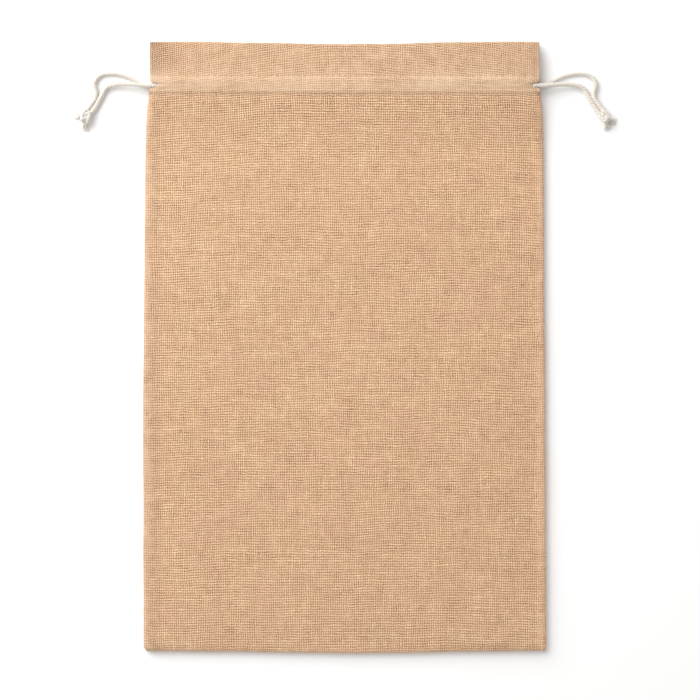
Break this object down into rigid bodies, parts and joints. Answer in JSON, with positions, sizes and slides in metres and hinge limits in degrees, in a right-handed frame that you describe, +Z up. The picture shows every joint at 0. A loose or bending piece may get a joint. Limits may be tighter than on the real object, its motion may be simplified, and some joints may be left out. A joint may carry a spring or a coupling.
{
  "type": "drawstring gift pouch",
  "caption": "Flat open-weave jute pouch with a folded header, a stitched cord channel and a drawcord with a knotted loop at each side.",
  "frame": {"origin": "on the floor under the middle of the pouch, without its free cords", "axes": "+X to the right across the pouch, +Y towards the mouth, +Z up through its two panels"},
  "size_m": [0.4065, 0.4578, 0.014],
  "materials": {
    "jute_cloth": "open plain weave, matt",
    "jute_thread": "twisted sewing thread, matt",
    "cotton_cord": "three-strand twisted cotton, matt"
  },
  "bodies": {
    "pouch": {"back_panel": "jute_cloth", "back_hem": "jute_cloth", "left_side_seam": "jute_cloth", "right_side_seam": "jute_cloth", "bottom_seam": "jute_cloth", "back_channel_stitching": "jute_thread", "left_side_stitching": "jute_thread", "right_side_stitching": "jute_thread", "bottom_stitching": "jute_thread", "left_cord_back_middle": "cotton_cord", "left_cord_back_far_run": "cotton_cord", "left_cord_bight": "cotton_cord", "right_cord_back_middle": "cotton_cord", "right_cord_back_far_run": "cotton_cord", "right_cord_bight": "cotton_cord"},
    "front": {"front_panel": "jute_cloth", "front_hem": "jute_cloth", "front_channel_stitching": "jute_thread", "left_cord_front_middle": "cotton_cord", "left_cord_front_far_run": "cotton_cord", "right_cord_front_middle": "cotton_cord", "right_cord_front_far_run": "cotton_cord"},
    "left_cord": {"left_cord_front_strand": "cotton_cord", "left_cord_back_strand": "cotton_cord", "left_cord_knot": "cotton_cord", "left_cord_front_tail": "cotton_cord", "left_cord_back_tail": "cotton_cord", "left_cord_back_run": "cotton_cord"},
    "left_front_run": {"left_cord_front_run": "cotton_cord"},
    "right_cord": {"right_cord_front_strand": "cotton_cord", "right_cord_back_strand": "cotton_cord", "right_cord_knot": "cotton_cord", "right_cord_front_tail": "cotton_cord", "right_cord_back_tail": "cotton_cord", "right_cord_back_run": "cotton_cord"},
    "right_front_run": {"right_cord_front_run": "cotton_cord"}
  },
  "joints": [
    {"name": "mouth_open", "type": "hinge", "parent": "pouch", "child": "front", "pos_m": [0, -0.2289, 0.007], "axis": [1, 0, 0], "range_deg": [0, 4]},
    {"name": "left_cord_pull", "type": "slide", "parent": "pouch", "child": "left_cord", "axis": [-1, 0, 0], "range_m": [0, 0.064]},
    {"name": "right_cord_pull", "type": "slide", "parent": "pouch", "child": "right_cord", "axis": [1, 0, 0], "range_m": [0, 0.064]},
    {"name": "left_run_lift", "type": "hinge", "parent": "left_cord", "child": "left_front_run", "pos_m": [0, -0.2289, 0.007], "axis": [1, 0, 0], "range_deg": [0, 4]},
    {"name": "right_run_lift", "type": "hinge", "parent": "right_cord", "child": "right_front_run", "pos_m": [0, -0.2289, 0.007], "axis": [1, 0, 0], "range_deg": [0, 4]}
  ],
  "couplings": [
    {"joint": "left_run_lift", "follows": "mouth_open", "ratio": 1},
    {"joint": "right_run_lift", "follows": "mouth_open", "ratio": 1}
  ]
}
